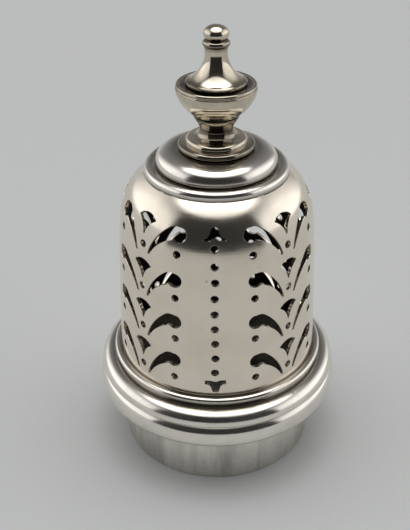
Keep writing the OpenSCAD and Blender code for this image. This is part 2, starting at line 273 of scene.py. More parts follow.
def new_piece(name, bm, materials):
    """A smooth mesh object at the origin, with its materials."""
    mesh = bpy.data.meshes.new(name)
    bm.to_mesh(mesh)
    bm.free()
    mesh.shade_smooth()
    for material in materials:
        mesh.materials.append(material)
    piece = bpy.data.objects.new(name, mesh)
    bpy.context.scene.collection.objects.link(piece)
    return piece


def stand_for(piece, node):
    """The piece rides on the cover and hides its CAD node."""
    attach(piece, "root")
    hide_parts(node)


def lathe(name, outline, material, edge_round, closed=True):
    """A turned piece: an outline of radius and height spun about the axis, with its corners softened."""
    bm = bmesh.new()
    line = [bm.verts.new((r, 0.0, z)) for r, z in outline]
    following = line[1:] + line[:1] if closed else line[1:]
    edges = [bm.edges.new(pair) for pair in zip(line, following)]
    bmesh.ops.spin(bm, geom=line + edges, cent=(0, 0, 0), axis=(0, 0, 1), angle=math.tau,
                   steps=TURN_STEPS, use_merge=True)
    bmesh.ops.remove_doubles(bm, verts=bm.verts, dist=WELD)
    bmesh.ops.recalc_face_normals(bm, faces=bm.faces)
    corners = [e for e in bm.edges if e.is_manifold and e.calc_face_angle() > SHARP_CORNER]
    bmesh.ops.bevel(bm, geom=corners, offset=edge_round, offset_type="OFFSET", segments=2, profile=0.5,
                    affect="EDGES", clamp_overlap=True, material=-1)
    # Tarnish and painted shade in the crevices, kept on each vertex
    film = bm.verts.layers.float.new("corner_tarnish_and_shade")
    for v in bm.verts:
        v[film] = corner_tarnish_and_shade(math.hypot(v.co.x, v.co.y) / MM, v.co.z / MM)
    return new_piece(name, bm, [material])


def bezel_outline(s):
    """Plain band with a rounded lower lip, stepped in where it enters the drum."""
    _, top, out = extent("bezel")
    seat = low("lower_moulding")
    half_wall = s.bezel_wall / 2
    lap = out - s.bezel_step
    lip = arc((out - half_wall, s.bezel_lip), half_wall, 180, 360, up=s.bezel_lip)
    return [(out - s.bezel_wall, top)] + lip + [(out, seat), (lap, seat), (lap, top)]


def seat_radius(s):
    """Radius of the drum's wall where the mouldings are soldered to it."""
    return reach("pierced_drum") + s.solder_gap


def lower_outline(s):
    """Large band, fuller below its middle than above it."""
    seat = seat_radius(s)
    foot, head, out = extent("lower_moulding")
    flat = seat + s.lower_flat
    bulge = out - flat
    half = (head - foot) / 2
    middle = foot + half
    under = curve((flat, foot), (flat + s.lower_under * bulge, foot),
                  (out, middle - s.lower_under * half), (out, middle))
    over = curve((out, middle), (out, middle + s.lower_over * half),
                 (flat + s.lower_over * bulge, head), (flat, head))
    return [(seat, foot)] + under + over[1:] + [(seat, head)]


def middle_outline(s):
    """Quarter round on a low foot."""
    seat = seat_radius(s)
    foot, head, _ = extent("middle_moulding")
    centre = (seat + s.middle_flat, foot + s.middle_foot)
    swell = head - centre[1]
    lean = -math.degrees(math.asin(s.middle_foot / swell))
    return [(seat, foot)] + arc(centre, swell, lean, 90) + [(seat, head)]


def base_bead_outline(s):
    """Round wire over a narrow hollow."""
    seat = seat_radius(s)
    foot, head, _ = extent("base_bead")
    centre = (seat + s.bead_round, head - s.bead_round)
    hollow = (foot + centre[1] - s.bead_round) / 2
    return ([(seat, foot), (centre[0] + s.bead_foot, foot), (centre[0], hollow)]
            + arc(centre, s.bead_round, -80, 90) + [(seat, head)])


def crown_bead_outline(s, cap_r):
    """Round wire with a ledge inside it for the cap."""
    foot, _, out = extent("crown_bead")
    centre = (out - s.bead_round, foot + s.bead_foot)
    ledge = foot + s.ledge_h
    meets = math.degrees(math.asin((ledge - centre[1]) / s.bead_round))
    return ([(cap_r - s.ledge, foot), (out, foot)]
            + arc(centre, s.bead_round, 0, 180 - meets) + [(cap_r - s.ledge, ledge)])


def crown_cap_outline(s, bore):
    """Low dome of sheet with a flat top and a bore for the finial's pin."""
    foot, top, widest = extent("crown_cap")
    out = widest - CAP_SWELL
    rise = top - foot
    flat = s.cap_flat_r
    sheet = s.cap_sheet
    side_pull = (out + 5 * CAP_SWELL, foot + 0.75 * rise)
    inside_pull = (out - sheet, foot + 0.6 * rise)
    outer = curve((out, foot + s.cap_foot), side_pull, (flat + s.cap_brow, top), (flat, top),
                  2 * CURVE_STEPS)
    inner = curve((flat - sheet, top - sheet), (flat + s.cap_inside, top - sheet), inside_pull,
                  (out - 1.3 * sheet, foot))
    return [(out - s.cap_foot, foot)] + outer + [(bore, top), (bore, top - sheet)] + inner


def bored(side, bore):
    """A piece's side, closed along a bore."""
    return [(bore, side[0][1])] + side + [(bore, side[-1][1])]


def foot_outline(s):
    """Rounded flange, a rounded rim and a hollow neck up to the waist."""
    foot, head, out = extent("finial_foot")
    flange = (out - s.flange_round, foot + s.flange_round)
    rim_top = foot + s.rim_h
    rim = (s.rim_r - s.rim_round, rim_top - s.rim_round)
    rim_pull = (rim[0] - 1.4 * MM, rim_top + 0.05 * MM)
    waist_pull = (s.waist_r, head - 1.6 * MM)
    hollow = curve((rim[0] - 0.1 * MM, rim_top), rim_pull, waist_pull, (s.waist_r, head))
    return arc(flange, s.flange_round, -90, 70) + arc(rim, s.rim_round, -30, 85) + hollow


def calyx_outline(s):
    """Small cup that opens from the waist to a thin lip."""
    foot, head, lip = extent("finial_calyx")
    tall = head - foot
    waist_pull = (s.waist_r + 0.15 * MM, foot + 0.25 * tall)
    lip_pull = (lip - 0.3 * MM, foot + 0.7 * tall)
    side = curve((s.waist_r, foot), waist_pull, lip_pull, (lip, foot + 0.92 * tall))
    return side + [(lip, head)]


def bowl_outline(s):
    """Urn bowl with a groove under its rolled lip and a flat floor for the spire's disc."""
    foot, _, out = extent("finial_bowl")
    belly = foot + s.belly_h
    start = reach("finial_calyx")
    foot_pull = (start + 1.3 * MM, foot + 0.15 * s.belly_h)
    belly_pull = (out - 0.05 * MM, foot + 0.58 * s.belly_h)
    side = curve((start - 0.2 * MM, foot), foot_pull, belly_pull, (out, belly), 2 * CURVE_STEPS)
    groove = [(out - 0.05 * MM, belly + 0.25 * MM), (out - 0.3 * MM, belly + 0.32 * MM)]
    lip = (out - s.lip_in - s.lip_round, belly + s.lip_up)
    floor = belly + s.floor_up
    floor_r = reach("finial_spire") + s.disc_gap
    return side + groove + arc(lip, s.lip_round, -20, 150) + [(floor_r, floor)]


def spire_outline(s):
    """Trumpet on a thin disc."""
    foot, head, disc = extent("finial_spire")
    tall = head - foot
    disc_top = foot + s.disc_h
    neck = foot + 0.8 * tall
    edge = [(disc - s.disc_slope, foot), (disc, foot + s.disc_slope), (disc, foot + 0.6 * s.disc_h)]
    disc_pull = (0.71 * disc, disc_top + 0.45 * MM)
    neck_pull = (s.neck_r + 0.05 * MM, foot + 0.464 * tall)
    side = curve((disc - 0.4 * MM, disc_top), disc_pull, neck_pull, (s.neck_r, neck), 2 * CURVE_STEPS)
    flare = arc((s.neck_r + s.neck_flare, neck), s.neck_flare, 175, 90, up=head - neck)
    return edge + side + flare


def collar_outline(s):
    """Small rounded ring."""
    foot, head, out = extent("finial_collar")
    tall = head - foot
    bulge = out + 0.1 * MM
    side = curve((s.neck_r + s.neck_flare, foot), (bulge, foot + 0.1 * tall),
                 (bulge, foot + 0.6 * tall), (out - 0.22 * MM, foot + 0.75 * tall))
    ball_foot = s.ball_foot * reach("finial_ball")
    return side + [(ball_foot, head)]


def ball_outline(s):
    """Flattened ball with a blind bore for the pin."""
    foot, head, out = extent("finial_ball")
    lowest = -math.acos(s.ball_foot)
    half = (head - foot) / (1.0 - math.sin(lowest))
    bore_top = foot + s.ball_sink
    side = arc((0.0, head - half), out, math.degrees(lowest), 90, 2 * CURVE_STEPS, up=half)
    return [(0.0, bore_top), (s.pin_bore_r, bore_top), (s.pin_bore_r, foot)] + side


def between(values, value):
    """Index before a value in a rising list, and the share of the way from there to the next."""
    i = min(max(bisect_right(values, value) - 1, 0), len(values) - 2)
    return i, (value - values[i]) / (values[i + 1] - values[i])


class WallLine:
    """Outer line of the drum's wall, read by the length along it. Millimetres."""

    def __init__(self, s):
        foot, self.crown_z, out = (size / MM for size in extent("pierced_drum"))
        self.wall_z = high("base_bead") / MM
        dome = s.dome_h / MM
        start = Vector((out, self.wall_z))
        spring = Vector((s.spring_r / MM, self.crown_z - dome))
        crown = Vector((s.crown_r / MM, self.crown_z))
        run = (spring - start) / (spring.y - start.y)
        slope = Vector((math.sin(s.crown_slope), -math.cos(s.crown_slope)))
        shoulder = curve(spring, spring + run * dome * s.spring_pull, crown + slope * dome * s.crown_pull,
                         crown, DOME_STEPS)
        self.points = [Vector(p) for p in [(out, foot), start] + shoulder]
        self.lengths = [0.0]
        for a, b in zip(self.points, self.points[1:]):
            self.lengths.append(self.lengths[-1] + (b - a).length)
        self.spring_s = self.lengths[2]
        self.total = self.lengths[-1]
        self.leans = [self.lean_of(i) for i in range(len(self.points))]

    def lean_of(self, i):
        """How far the surface leans back at one point, in radians."""
        a = self.points[max(i - 1, 1)]
        b = self.points[min(max(i + 1, 2), len(self.points) - 1)]
        return math.atan2(a.x - b.x, b.y - a.y)

    def at(self, s):
        """Radius, height and lean at a length along the line."""
        i, t = between(self.lengths, s)
        place = self.points[i].lerp(self.points[i + 1], t)
        return place.x, place.y, self.leans[i] + (self.leans[i + 1] - self.leans[i]) * t

    def length_at(self, z):
        """Length along the line at a height."""
        i, t = between([p.y for p in self.points], z)
        return self.lengths[i] + (self.lengths[i + 1] - self.lengths[i]) * t


# Outlines of the pierced shapes, in millimetres about their own middle. Arcs take a point this far apart.
SAW_STEP = 0.26


def bow(centre, radius, start, end):
    """Points along a sawn arc, with its angles in degrees, leaving out its last point."""
    steps = max(2, math.ceil(abs(math.radians(end - start)) * radius / SAW_STEP))
    return arc(centre, radius, start, end, steps)[:-1]


def on_circle(centre, radius, degrees):
    """Point of a circle at an angle."""
    return arc(centre, radius, degrees, degrees, 1)[0]


def bearing(centre, point):
    """Angle of a point seen from a centre, in degrees."""
    return math.degrees(math.atan2(point[1] - centre[1], point[0] - centre[0]))


def crossing(centre_a, radius_a, centre_b, radius_b):
    """Point to the left of the way from a to b where two circles cross."""
    a = Vector(centre_a)
    way = Vector(centre_b) - a
    apart = way.length
    along = (radius_a ** 2 - radius_b ** 2 + apart ** 2) / (2 * apart)
    aside = math.sqrt(radius_a ** 2 - along ** 2)
    way.normalize()
    return tuple(a + way * along + Vector((-way.y, way.x)) * aside)


def mirrored(outline):
    """The same outline the other way round."""
    return [(-x, y) for x, y in reversed(outline)]


def dot_shape(radius):
    """Drilled dot."""
    return bow((0.0, 0.0), radius, 0, 360)


def leaf_shape():
    """Round head, a top that runs over it into a long back, and a hollow belly."""
    head, head_r = (-2.82, 2.32), 1.72
    top, top_r = (-1.9, 1.85), 2.3
    back_r = 15.0
    join = 52.0
    back = on_circle(top, top_r - back_r, join)
    belly, belly_r = (-4.9, -8.34), 10.0
    tip_y = -4.1
    back_tip = math.degrees(math.asin((tip_y - back[1]) / back_r))
    belly_tip = math.degrees(math.asin((tip_y - belly[1]) / belly_r))
    nape = crossing(head, head_r, top, top_r)
    throat = crossing(head, head_r, belly, belly_r)
    return (bow(back, back_r, back_tip, join)
            + bow(top, top_r, join, bearing(top, nape))
            + bow(head, head_r, bearing(head, nape), bearing(head, throat) + 360)
            + bow(belly, belly_r, bearing(belly, throat), belly_tip)
            + [on_circle(belly, belly_r, belly_tip)])


def fan_shape():
    """Round upper edge, two hollow sides and a narrow stem."""
    top, top_r = (0.0, -0.95), 3.4
    side, side_r = (5.1, -3.2), 5.0
    tip_y = -2.4
    corner = crossing(top, top_r, side, side_r)
    stem = 180 - math.degrees(math.asin((tip_y - side[1]) / side_r))
    right = bow(side, side_r, stem, bearing(side, corner))
    start = bearing(top, corner)
    over = bow(top, top_r, start, 180 - start) + [(-corner[0], corner[1])]
    return right + over + mirrored(right)


def trefoil_shape():
    """Round lobe over two feet with an arch between them."""
    lobe, lobe_r = (0.0, 0.65), 0.95
    side, side_r = (2.62, 0.65), 1.67
    arch, arch_r = (0.0, -2.0), 1.05
    half_w = 2.5
    base = -1.5
    arch_x = math.sqrt(arch_r ** 2 - (base - arch[1]) ** 2)
    toe = (half_w, side[1] - math.sqrt(side_r ** 2 - (half_w - side[0]) ** 2))
    right = [(arch_x, base), (half_w, base)] + bow(side, side_r, bearing(side, toe), -180)
    return (right + bow(lobe, lobe_r, 0, 180) + [(-lobe_r, lobe[1])] + mirrored(right)[1:]
            + bow(arch, arch_r, bearing(arch, (-arch_x, base)), bearing(arch, (arch_x, base)))[1:])


def tulip_shape():
    """Two wings with a dip between them, on a tapered stem."""
    top = 1.55
    half_w = 2.4
    dip, dip_r = (0.0, 2.9), 1.65
    side, side_r = (2.2, -0.75), 1.27
    stem, stem_y = 0.58, -1.65
    dip_x = math.sqrt(dip_r ** 2 - (dip[1] - top) ** 2)
    wing = (half_w, side[1] + math.sqrt(side_r ** 2 - (half_w - side[0]) ** 2))
    right = ([(stem, stem_y)] + bow(side, side_r, 180, bearing(side, wing))
             + [wing, (half_w, top), (dip_x, top)])
    low_arc = bow(dip, dip_r, bearing(dip, (dip_x, top)), bearing(dip, (-dip_x, top)))
    return right + low_arc[1:] + mirrored(right)


def piercings(p, wall, sector):
    """One sector's pierced shapes, each as its turn round the drum, length up the wall and outline."""
    tall = wall.crown_z - wall.wall_z
    pitch = (tall - (p.row_foot + p.row_head) / MM) / max(p.rows - 1, 1)
    step = (tall - (p.column_foot + p.column_head) / MM) / max(p.column_dots - 1, 1)
    small = dot_shape(p.small_dot_r / MM)
    leaf = leaf_shape()
    shapes = []

    def add(line, along, z, outline):
        """Places an outline at a distance along the wall from an upright line."""
        s = wall.length_at(z)
        shapes.append((line + along / wall.at(s)[0], s, outline))

    for row in range(p.rows):
        z = wall.wall_z + p.row_foot / MM + row * pitch
        add(0.0, 0.0, z, small)
        add(0.0, 0.0, z + p.fan_up / MM, fan_shape())
        for side, outline in ((-1, leaf), (1, mirrored(leaf))):
            add(0.0, side * p.leaf_out / MM, z + p.leaf_up / MM, outline)
            add(0.0, side * p.leaf_dot_out / MM, z, small)
    column = sector / 2
    for dot in range(p.column_dots):
        add(column, 0.0, wall.wall_z + p.column_foot / MM + dot * step, dot_shape(p.dot_r / MM))
    add(column, 0.0, wall.wall_z + p.tulip_foot / MM, tulip_shape())
    add(column, 0.0, wall.crown_z - p.trefoil_head / MM, trefoil_shape())
    return shapes


# The drum is drawn flat at this radius, in millimetres, and cut into cells before it is rolled up
FLAT_R = 23.0
SEAM = math.radians(-32.5)
CELL_TURN = math.radians(4.5)
WALL_CELL = 3.6
DOME_CELL = 1.3
CUT_SNAP = 0.0005
SAW_SEED = 7

# Sides of the drum's faces, and the length under which directions have cancelled each other out
OUTSIDE, INSIDE, SAWN, SOFTENED = 1, 2, 3, 4
CANCELLED = 0.01


def closed_loop(bm, points):
    """A ring of edges through flat points."""
    ring = [bm.verts.new((x, y, 0.0)) for x, y in points]
    for a, b in zip(ring, ring[1:] + ring[:1]):
        bm.edges.new((a, b))


def flat_sector(bm, shapes, wall, sector, p, saw):
    """One sector of the drum's sheet, flat, with its piercings left open."""
    left = SEAM * FLAT_R
    right = (SEAM + sector) * FLAT_R
    closed_loop(bm, [(left, 0.0), (right, 0.0), (right, wall.total), (left, wall.total)])
    drift = p.saw_drift / MM
    for turn, s, outline in shapes:
        up = s + saw.uniform(-drift, drift)
        aside = saw.uniform(-drift, drift)
        tilt = Matrix.Rotation(saw.uniform(-p.saw_turn, p.saw_turn), 2)
        turned = [tilt @ Vector(point) for point in outline]
        lifted = [(v.x + aside, min(up + v.y, wall.total)) for v in turned]
        closed_loop(bm, [((turn + x / wall.at(y)[0]) * FLAT_R, y) for x, y in lifted])
    bmesh.ops.triangle_fill(bm, use_beauty=True, use_dissolve=False, edges=bm.edges, normal=(0, 0, 1))
    cells = round(sector / CELL_TURN)
    for i in range(1, cells):
        slice_flat(bm, ((SEAM + sector * i / cells) * FLAT_R, 0, 0), (1, 0, 0))
    wall_cells = round(wall.spring_s / WALL_CELL)
    heights = [wall.spring_s * i / wall_cells for i in range(1, wall_cells + 1)] + [wall.lengths[1]]
    dome = wall.total - wall.spring_s
    dome_cells = round(dome / DOME_CELL)
    heights += [wall.spring_s + dome * i / dome_cells for i in range(1, dome_cells)]
    for s in heights:
        slice_flat(bm, (0, s, 0), (0, 1, 0))


def slice_flat(bm, place, across):
    """Cuts the flat sheet along a line."""
    geom = bm.verts[:] + bm.edges[:] + bm.faces[:]
    bmesh.ops.bisect_plane(bm, geom=geom, dist=CUT_SNAP, plane_co=place, plane_no=across)


def outward(vert, lean_layer):
    """The wall's own direction outwards at a vertex."""
    lean = vert[lean_layer]
    level = Vector((vert.co.x, vert.co.y, 0.0)).normalized()
    return level * math.cos(lean) + Vector((0, 0, math.sin(lean)))


def roll_up(bm, wall, lean_layer, middle):
    """Bends a flat sector round the axis, with its fan line facing an angle, and turns it to metres."""
    for v in bm.verts:
        turn = middle + v.co.x / FLAT_R
        r, z, lean = wall.at(v.co.y)
        v[lean_layer] = lean
        v.co = Vector((r * math.cos(turn), r * math.sin(turn), z)) * MM


def corner_normals(bm, side_layer, lean_layer):
    """Direction of every face corner: the true wall outside and in, and smooth sawn edges."""
    normals = []
    for face in bm.faces:
        side = face[side_layer]
        for corner in face.loops:
            vert = corner.vert
            sides = {f[side_layer] for f in vert.link_faces}
            if side == OUTSIDE or (side == SOFTENED and OUTSIDE in sides):
                normals.append(outward(vert, lean_layer))
            elif side == INSIDE:
                normals.append(-outward(vert, lean_layer))
            else:
                sawn = [f.normal for f in vert.link_faces if f[side_layer] == SAWN]
                total = sum(sawn, Vector()) if sawn else face.normal
                normals.append(total.normalized() if total.length > CANCELLED else face.normal.copy())
    return normals


def rolled_sheet(p, wall):
    """The drum's sheet without its thickness: flat sectors with sawn piercings, rolled up and joined."""
    sector = math.tau / p.columns
    saw = random.Random(SAW_SEED)
    shapes = piercings(p, wall, sector)
    bm = bmesh.new()
    bm.verts.layers.float.new("lean")
    bm.faces.layers.int.new("side")
    for i in range(p.columns):
        flat = bmesh.new()
        lean_layer = flat.verts.layers.float.new("lean")
        flat_sector(flat, shapes, wall, sector, p, saw)
        roll_up(flat, wall, lean_layer, (i + 0.5) * sector - math.pi / 2)
        mesh = bpy.data.meshes.new("sector")
        flat.to_mesh(mesh)
        flat.free()
        bm.from_mesh(mesh)
        bpy.data.meshes.remove(mesh)
    bmesh.ops.remove_doubles(bm, verts=bm.verts, dist=WELD)
    bmesh.ops.recalc_face_normals(bm, faces=bm.faces)
    return bm


def thicken(bm, side_layer, lean_layer, thickness):
    """Gives the sheet its inner wall and its sawn edges, and marks the side of every face."""
    sheet = bm.faces[:]
    made = bmesh.ops.extrude_face_region(bm, geom=sheet, use_keep_orig=True)["geom"]
    for vert in [g for g in made if isinstance(g, bmesh.types.BMVert)]:
        vert.co -= outward(vert, lean_layer) * thickness
    sides = {face: OUTSIDE for face in sheet}
    sides.update((g, INSIDE) for g in made if isinstance(g, bmesh.types.BMFace))
    for face in bm.faces:
        face[side_layer] = sides.get(face, SAWN)
    bmesh.ops.recalc_face_normals(bm, faces=bm.faces)


def soften_rims(bm, side_layer, edge_round):
    """Rounds the outer rim of every sawn edge."""
    rims = [e for e in bm.edges if {f[side_layer] for f in e.link_faces} == {OUTSIDE, SAWN}]
    softened = bmesh.ops.bevel(bm, geom=rims, offset=edge_round, offset_type="OFFSET", segments=2,
                               profile=0.5, affect="EDGES", clamp_overlap=False, material=-1)
    for face in softened["faces"]:
        face[side_layer] = SOFTENED


def pierced_wall(context, finishes):
    """The drum: a pierced sheet with its thickness, softened along its cuts and painted near black inside
    as shade.
    """
    sizes = context.scene.cover_drum
    bm = rolled_sheet(context.scene.cover_piercing, WallLine(sizes))
    lean_layer = bm.verts.layers.float["lean"]
    side_layer = bm.faces.layers.int["side"]
    thicken(bm, side_layer, lean_layer, sizes.sheet)
    soften_rims(bm, side_layer, sizes.edge_round)
    for face in bm.faces:
        # Faces inside the drum take the near-black painted shade
        face.material_index = 1 if face[side_layer] == INSIDE else 0
    bm.normal_update()
    normals = corner_normals(bm, side_layer, lean_layer)
    piece = new_piece("pierced_drum_wall", bm, finishes)
    piece.data.normals_split_custom_set(normals)
    return piece


def put_in(node, inputs):
    """Puts numbers, colours or other nodes' outputs into a node's inputs."""
    for socket, value in inputs.items():
        if isinstance(value, bpy.types.NodeSocket):
            node.id_data.links.new(value, node.inputs[socket])
        else:
            node.inputs[socket].default_value = value


def new_node(tree, kind, inputs, **settings):
    """A shader node with its settings and inputs."""
    node = tree.nodes.new("ShaderNode" + kind)
    for name, value in settings.items():
        setattr(node, name, value)
    put_in(node, inputs)
    return node


def noise(tree, vector, scale, detail, roughness=0.5):
    """A noise texture on a vector."""
    inputs = {"Vector": vector, "Scale": scale, "Detail": detail, "Roughness": roughness}
    return new_node(tree, "TexNoise", inputs).outputs["Fac"]


def stretch(tree, vector, scale):
    """A vector stretched along the axes."""
    return new_node(tree, "Mapping", {"Vector": vector, "Scale": scale}).outputs["Vector"]


def spread(tree, value, low_in, high_in, low_out=0.0, high_out=1.0):
    """A value moved from one range to another and held there."""
    ranges = {"From Min": low_in, "From Max": high_in, "To Min": low_out, "To Max": high_out}
    return new_node(tree, "MapRange", {"Value": value, **ranges}).outputs["Result"]


def combine(tree, operation, a, b):
    """A sum, difference or product of two values, or of a value and a number."""
    return new_node(tree, "Math", {0: a, 1: b}, operation=operation).outputs["Value"]


def weighed_sum(tree, *parts):
    """Sum of values, each times its share."""
    products = [combine(tree, "MULTIPLY", value, part) for value, part in parts]
    total = products[0]
    for product in products[1:]:
        total = combine(tree, "ADD", total, product)
    return total


def blend(tree, factor, a, b):
    """A colour that goes from a to b."""
    inputs = {"Factor": factor, "A": a, "B": b}
    return new_node(tree, "Mix", inputs, data_type="RGBA").outputs["Result"]


def opaque(rgb):
    """A colour as a shader takes it."""
    return (*rgb, 1.0)


# Repeats in a metre of the marks on the silver: film, lines left by turning, stray scratches, pits, the
# patches where pits lie, and the upright streaks on the bezel
FILM_CLOUDS = 130.0
TURNED_LINES = (180.0, 180.0, 5200.0)
STRAY_LINES = (3600.0, 900.0, 500.0)
PITS = 260.0
PIT_PATCHES = 95.0
STREAKS = (170.0, 170.0, 20.0)

# Levels of those textures between which the marks fade
FILM_LEVELS = (0.42, 0.72)
STREAK_LEVELS = (0.42, 0.66)
LINE_LEVELS = (0.3, 0.7)
PIT_LEVELS = (0.03, 0.1)
PATCH_LEVELS = (0.6, 0.66)

# Shares of turned and stray lines, how dark the film is in pits, how dark the tarnish and painted shade
# are in crevices, how deep the marks are, and how much of its roughness a finish has between lines, in
# lines and under film
TURNED_SHARE = 0.55
STRAY_SHARE = 0.45
PIT_FILM = 0.7
CREVICE_TARNISH_AND_SHADE = 0.9
MARK_DEPTH = 0.02 * MM
LINE_ROUGHNESS = (0.75, 1.3)
FILM_ROUGHNESS = 0.5

# Every finish: its colour and its roughness among the properties, the scale and the strength of its marks,
# and its shares of film and of streaks
FINISHES = {
    "polished_silver": ("silver", "polish", 1.0, 0.10, 0.12, 0.0),
    "sheet_silver": ("sheet", "planished", 0.8, 0.30, 0.10, 0.0),
    "finial_silver": ("finial", "finial_polish", 1.6, 0.10, 0.35, 0.0),
    "rubbed_silver": ("bezel", "rubbed", 0.9, 0.35, 0.16, 0.32),
    # The inside's finish is painted shade within the drum
    "inside_painted_shade_silver": ("inside", "dull", 0.7, 0.30, 0.50, 0.0),
}


def hand_polish_group():
    """Marks that years of polishing leave: clouds of film, turned lines, scratches and small pits."""
    group = bpy.data.node_groups.new("hand_polish", "ShaderNodeTree")
    group.interface.new_socket("Scale", in_out="INPUT", socket_type="NodeSocketFloat")
    given = group.nodes.new("NodeGroupInput")
    where = new_node(group, "TexCoord", {})
    sized = {0: where.outputs["Object"], "Scale": given.outputs["Scale"]}
    place = new_node(group, "VectorMath", sized, operation="SCALE").outputs["Vector"]
    film = noise(group, place, FILM_CLOUDS, 4.0, 0.6)
    turned = noise(group, stretch(group, place, TURNED_LINES), 1.0, 2.0)
    stray = noise(group, stretch(group, place, STRAY_LINES), 1.0, 3.0, 0.6)
    cells = new_node(group, "TexVoronoi", {"Vector": place, "Scale": PITS})
    pits = spread(group, cells.outputs["Distance"], *PIT_LEVELS, 1.0, 0.0)
    patches = spread(group, noise(group, place, PIT_PATCHES, 1.0), *PATCH_LEVELS)
    marks = {
        "Film": spread(group, film, *FILM_LEVELS),
        "Lines": weighed_sum(group, (turned, TURNED_SHARE), (stray, STRAY_SHARE)),
        "Pits": combine(group, "MULTIPLY", pits, patches),
    }
    for mark in marks:
        group.interface.new_socket(mark, in_out="OUTPUT", socket_type="NodeSocketFloat")
    put_in(group.nodes.new("NodeGroupOutput"), marks)
    return group


def new_material(name):
    """A material with its node tree and its shader."""
    material = bpy.data.materials.new(name)
    material.use_nodes = True
    return material, material.node_tree, material.node_tree.nodes["Principled BSDF"]


def tarnish_and_shade_mask(tree, polish, film_share, streak_share):
    """Where the silver is darkened, from 0 to 1: film clouds, the pits, tarnish and painted shade in the
    crevices, and any darker upright streaks.
    """
    # Crevices: tarnish and painted shade, read from the vertices
    crevice_tarnish_and_painted_shade = new_node(tree, "Attribute", {}, attribute_name="corner_tarnish_and_shade").outputs["Fac"]
    mask = weighed_sum(tree, (polish["Film"], film_share), (polish["Pits"], PIT_FILM),
                       (crevice_tarnish_and_painted_shade, CREVICE_TARNISH_AND_SHADE))
    if streak_share:
        where = new_node(tree, "TexCoord", {})
        runs = noise(tree, stretch(tree, where.outputs["Object"], STREAKS), 1.0, 4.0, 0.6)
        mask = combine(tree, "ADD", mask, spread(tree, runs, *STREAK_LEVELS, 0.0, streak_share))
    return spread(tree, mask, 0.0, 1.0)


def silver_finish(name, metal, film, roughness, mark_scale, marks, film_share, streak_share):
    """Silver with its polish marks: film and the crevices' tarnish and painted shade tint it, lines and
    film roughen it, lines and pits mark it.
    """
    material, tree, shader = new_material(name)
    group = bpy.data.node_groups.get("hand_polish") or hand_polish_group()
    polish = new_node(tree, "Group", {"Scale": mark_scale}, node_tree=group).outputs
    mask = tarnish_and_shade_mask(tree, polish, film_share, streak_share)
    lined = spread(tree, polish["Lines"], *LINE_LEVELS, *(part * roughness for part in LINE_ROUGHNESS))
    filmed = combine(tree, "MULTIPLY", polish["Film"], FILM_ROUGHNESS * roughness)
    height = combine(tree, "SUBTRACT", polish["Lines"], polish["Pits"])
    bump = new_node(tree, "Bump", {"Strength": marks, "Distance": MARK_DEPTH, "Height": height})
    put_in(shader, {
        "Metallic": 1.0,
        "Base Color": blend(tree, mask, opaque(metal), opaque(film)),
        "Roughness": combine(tree, "ADD", lined, filmed),
        "Normal": bump.outputs["Normal"],
    })
    return material


def finish(context, name):
    """One of the cover's silver finishes, made when it is first asked for."""
    made = bpy.data.materials.get(name)
    if made:
        return made
    look = context.scene.cover_finish
    metal, roughness, *wear = FINISHES[name]
    return silver_finish(name, getattr(look, metal), look.tarnish_and_shade, getattr(look, roughness), *wear)


class COVER_OT_bezel(Operator):
    """Build the plain band that pushes into the caster's mouth"""

    bl_idname = "cover.bezel"
    bl_label = "Bezel"

    def execute(self, context):
        s = context.scene.cover_base
        piece = lathe("bezel_band", bezel_outline(s), finish(context, "rubbed_silver"), s.edge_round)
        stand_for(piece, "bezel")
        return {"FINISHED"}


class COVER_OT_mouldings(Operator):
    """Build the three wires round the foot of the drum"""

    bl_idname = "cover.mouldings"
    bl_label = "Base mouldings"

    def execute(self, context):
        s = context.scene.cover_base
        silver = finish(context, "polished_silver")
        outlines = {
            "lower_moulding": lower_outline(s),
            "middle_moulding": middle_outline(s),
            "base_bead": base_bead_outline(s),
        }
        for node, outline in outlines.items():
            stand_for(lathe(node + "_ring", outline, silver, s.edge_round), node)
        return {"FINISHED"}


class COVER_OT_drum(Operator):
    """Build the pierced drum with its domed shoulder"""

    bl_idname = "cover.drum"
    bl_label = "Pierced drum"

    def execute(self, context):
        finishes = [finish(context, "sheet_silver"), finish(context, "inside_painted_shade_silver")]
        stand_for(pierced_wall(context, finishes), "pierced_drum")
        return {"FINISHED"}


class COVER_OT_crown(Operator):
    """Build the bead and the cap that close the shoulder"""

    bl_idname = "cover.crown"
    bl_label = "Crown"

    def execute(self, context):
        s = context.scene.cover_crown
        silver = finish(context, "polished_silver")
        bead = crown_bead_outline(s, reach("crown_cap"))
        cap = crown_cap_outline(s, context.scene.cover_finial.pin_bore_r)
        stand_for(lathe("crown_bead_ring", bead, silver, s.edge_round), "crown_bead")
        stand_for(lathe("crown_cap_dome", cap, silver, s.edge_round), "crown_cap")
        return {"FINISHED"}


class COVER_OT_finial(Operator):
    """Build the turned pieces of the urn finial and finish its pin"""

    bl_idname = "cover.finial"
    bl_label = "Finial"

    def execute(self, context):
        s = context.scene.cover_finial
        silver = finish(context, "finial_silver")
        outlines = {
            "finial_foot": foot_outline(s),
            "finial_calyx": calyx_outline(s),
            "finial_bowl": bowl_outline(s),
            "finial_spire": spire_outline(s),
            "finial_collar": collar_outline(s),
        }
        for node, outline in outlines.items():
            piece = lathe(node + "_turned", bored(outline, s.pin_bore_r), silver, s.edge_round)
            stand_for(piece, node)
        ball = lathe("finial_ball_turned", ball_outline(s), silver, s.edge_round, closed=False)
        stand_for(ball, "finial_ball")
        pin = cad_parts["finial_pin"]
        pin.data.materials.clear()
        pin.data.materials.append(silver)
        return {"FINISHED"}


class COVER_OT_stage(Operator):
    """Build the pale floor, the soft light and the camera"""

    bl_idname = "cover.stage"
    bl_label = "Stage"

    def execute(self, context):
        look = context.scene.cover_studio
        make_floor(look)
        make_dark_card()
        make_sky(context.scene)
        make_camera(context.scene, look)
        context.scene.view_settings.view_transform = "Standard"
        return {"FINISHED"}


